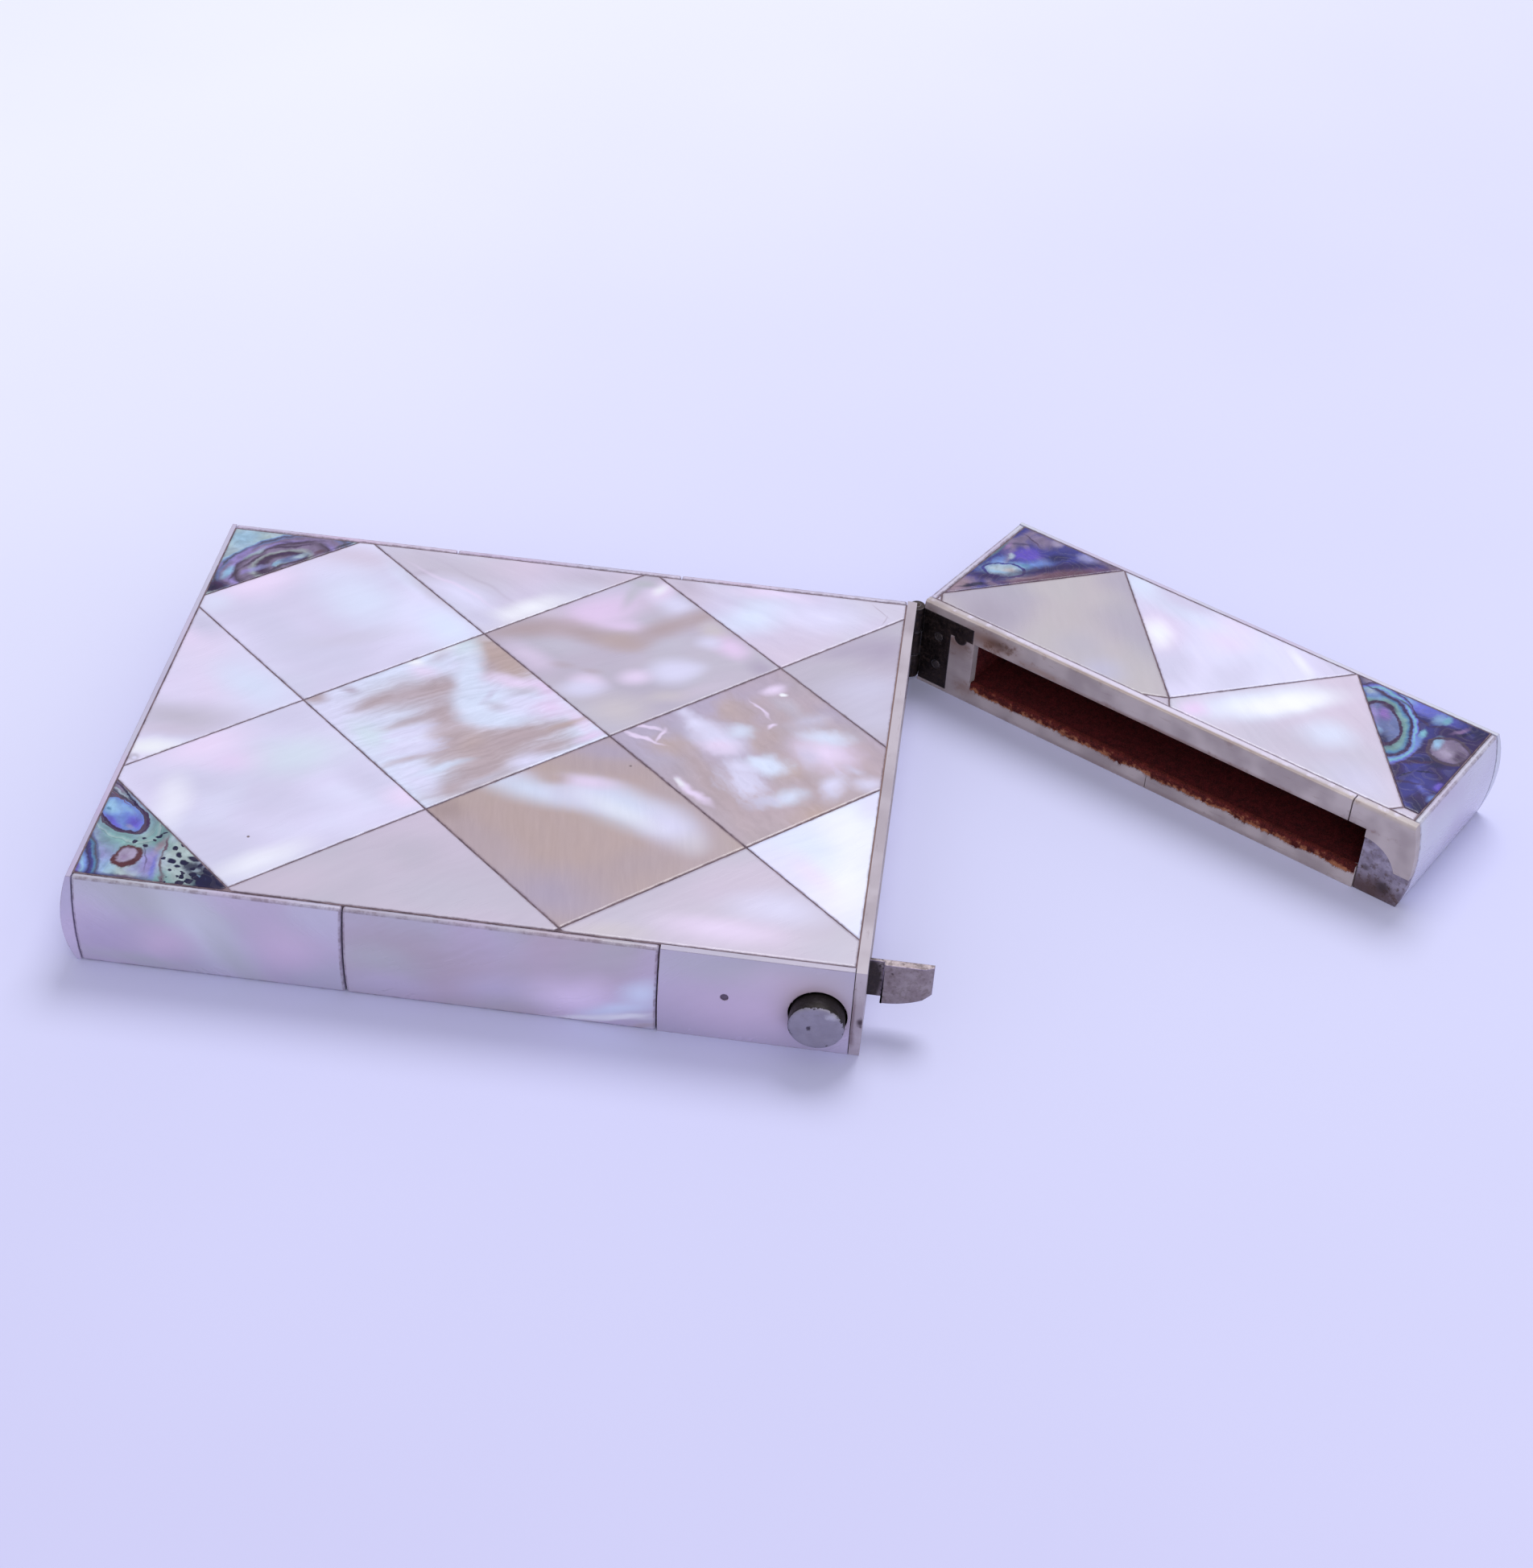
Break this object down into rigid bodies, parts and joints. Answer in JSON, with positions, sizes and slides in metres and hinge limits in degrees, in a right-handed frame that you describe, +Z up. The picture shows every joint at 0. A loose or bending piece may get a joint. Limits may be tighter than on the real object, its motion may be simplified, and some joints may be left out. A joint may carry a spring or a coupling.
{
  "type": "card case",
  "caption": "Flat visiting-card case covered with a lozenge pattern of mother-of-pearl and abalone, with a side-swinging hinged lid and a push-button spring catch.",
  "frame": {"origin": "centre of the underside of the body, on the surface it rests on", "axes": "+X out of the body's mouth, +Y towards the hinge side, +Z up through the thickness"},
  "size_m": [0.149, 0.0858, 0.0114],
  "materials": {
    "core_wood": "matte",
    "joint_cement": "matte",
    "velvet_lining": "matte",
    "bone": "satin",
    "abalone": "gloss",
    "white_pearl": "gloss",
    "warm_pearl": "gloss",
    "lilac_pearl": "gloss",
    "button_metal": "satin",
    "spring_metal": "satin",
    "strike_metal": "satin",
    "dark_metal": "matte",
    "rivet_metal": "satin"
  },
  "bodies": {
    "case": {"case_top_board": "core_wood", "case_floor_board": "core_wood", "case_hinge_rail": "core_wood", "case_catch_rail": "core_wood", "case_end_rail": "core_wood", "case_cement": "joint_cement", "case_lining": "velvet_lining", "case_rim_strips": "bone", "case_rim_blocks": "bone", "top_plate_centre": "warm_pearl", "top_plate_left_catch": "white_pearl", "top_plate_left_hinge": "lilac_pearl", "top_plate_mid_catch": "warm_pearl", "top_plate_mid_hinge": "lilac_pearl", "top_plate_right": "warm_pearl", "top_plate_mouth_catch": "white_pearl", "top_plate_mouth_hinge": "lilac_pearl", "top_half_end": "white_pearl", "top_halves_catch_edge": "warm_pearl", "top_halves_hinge_edge": "white_pearl", "top_abalone_catch": "abalone", "top_abalone_hinge": "abalone", "under_pearl": "white_pearl", "under_abalone": "abalone", "catch_side_plate_end": "lilac_pearl", "catch_side_plate_middle": "white_pearl", "button_plate": "lilac_pearl", "hinge_side_plates": "white_pearl", "end_plate": "lilac_pearl", "case_hinge_leaf": "dark_metal", "case_hinge_rivets": "rivet_metal", "hinge_pin": "dark_metal", "button_bush": "dark_metal", "spring_rivet": "dark_metal"},
    "lid": {"lid_top_board": "core_wood", "lid_floor_board": "core_wood", "lid_end_rail": "core_wood", "lid_side_blocks": "core_wood", "lid_cement": "joint_cement", "lid_lining": "velvet_lining", "lid_plate_catch": "white_pearl", "lid_plate_middle": "white_pearl", "lid_plate_hinge": "warm_pearl", "lid_tips": "lilac_pearl", "lid_abalone_catch": "abalone", "lid_abalone_hinge": "abalone", "lid_under_pearl": "white_pearl", "lid_under_abalone": "abalone", "lid_side_plates": "white_pearl", "lid_end_plate": "white_pearl", "lid_rim_top": "bone", "lid_rim_floor": "bone", "lid_rim_hinge": "bone", "lid_rim_catch": "bone", "strike_plate": "strike_metal", "lid_hinge_leaf": "dark_metal", "lid_hinge_rivets": "rivet_metal"},
    "button": {"push_button": "button_metal"},
    "catch": {"catch_spring": "spring_metal"}
  },
  "joints": [
    {"name": "lid_hinge", "type": "hinge", "parent": "case", "child": "lid", "pos_m": [0.04055, 0.0324, 0.0057], "axis": [0, 0, 1], "range_deg": [-60.5, 29.5], "deforming": ["catch_spring"]},
    {"name": "button_push", "type": "slide", "parent": "case", "child": "button", "axis": [0, 1, 0], "range_m": [0, 0.0006], "stiffness_N_per_m": 800, "springref_m": -0.0006},
    {"name": "catch_flex", "type": "hinge", "parent": "case", "child": "catch", "pos_m": [0.02655, -0.026, 0.0057], "axis": [0, 0, 1], "range_deg": [0, 3.7]}
  ],
  "couplings": [
    {"joint": "catch_flex", "follows": "button_push", "rad_per_m": 105.8}
  ]
}
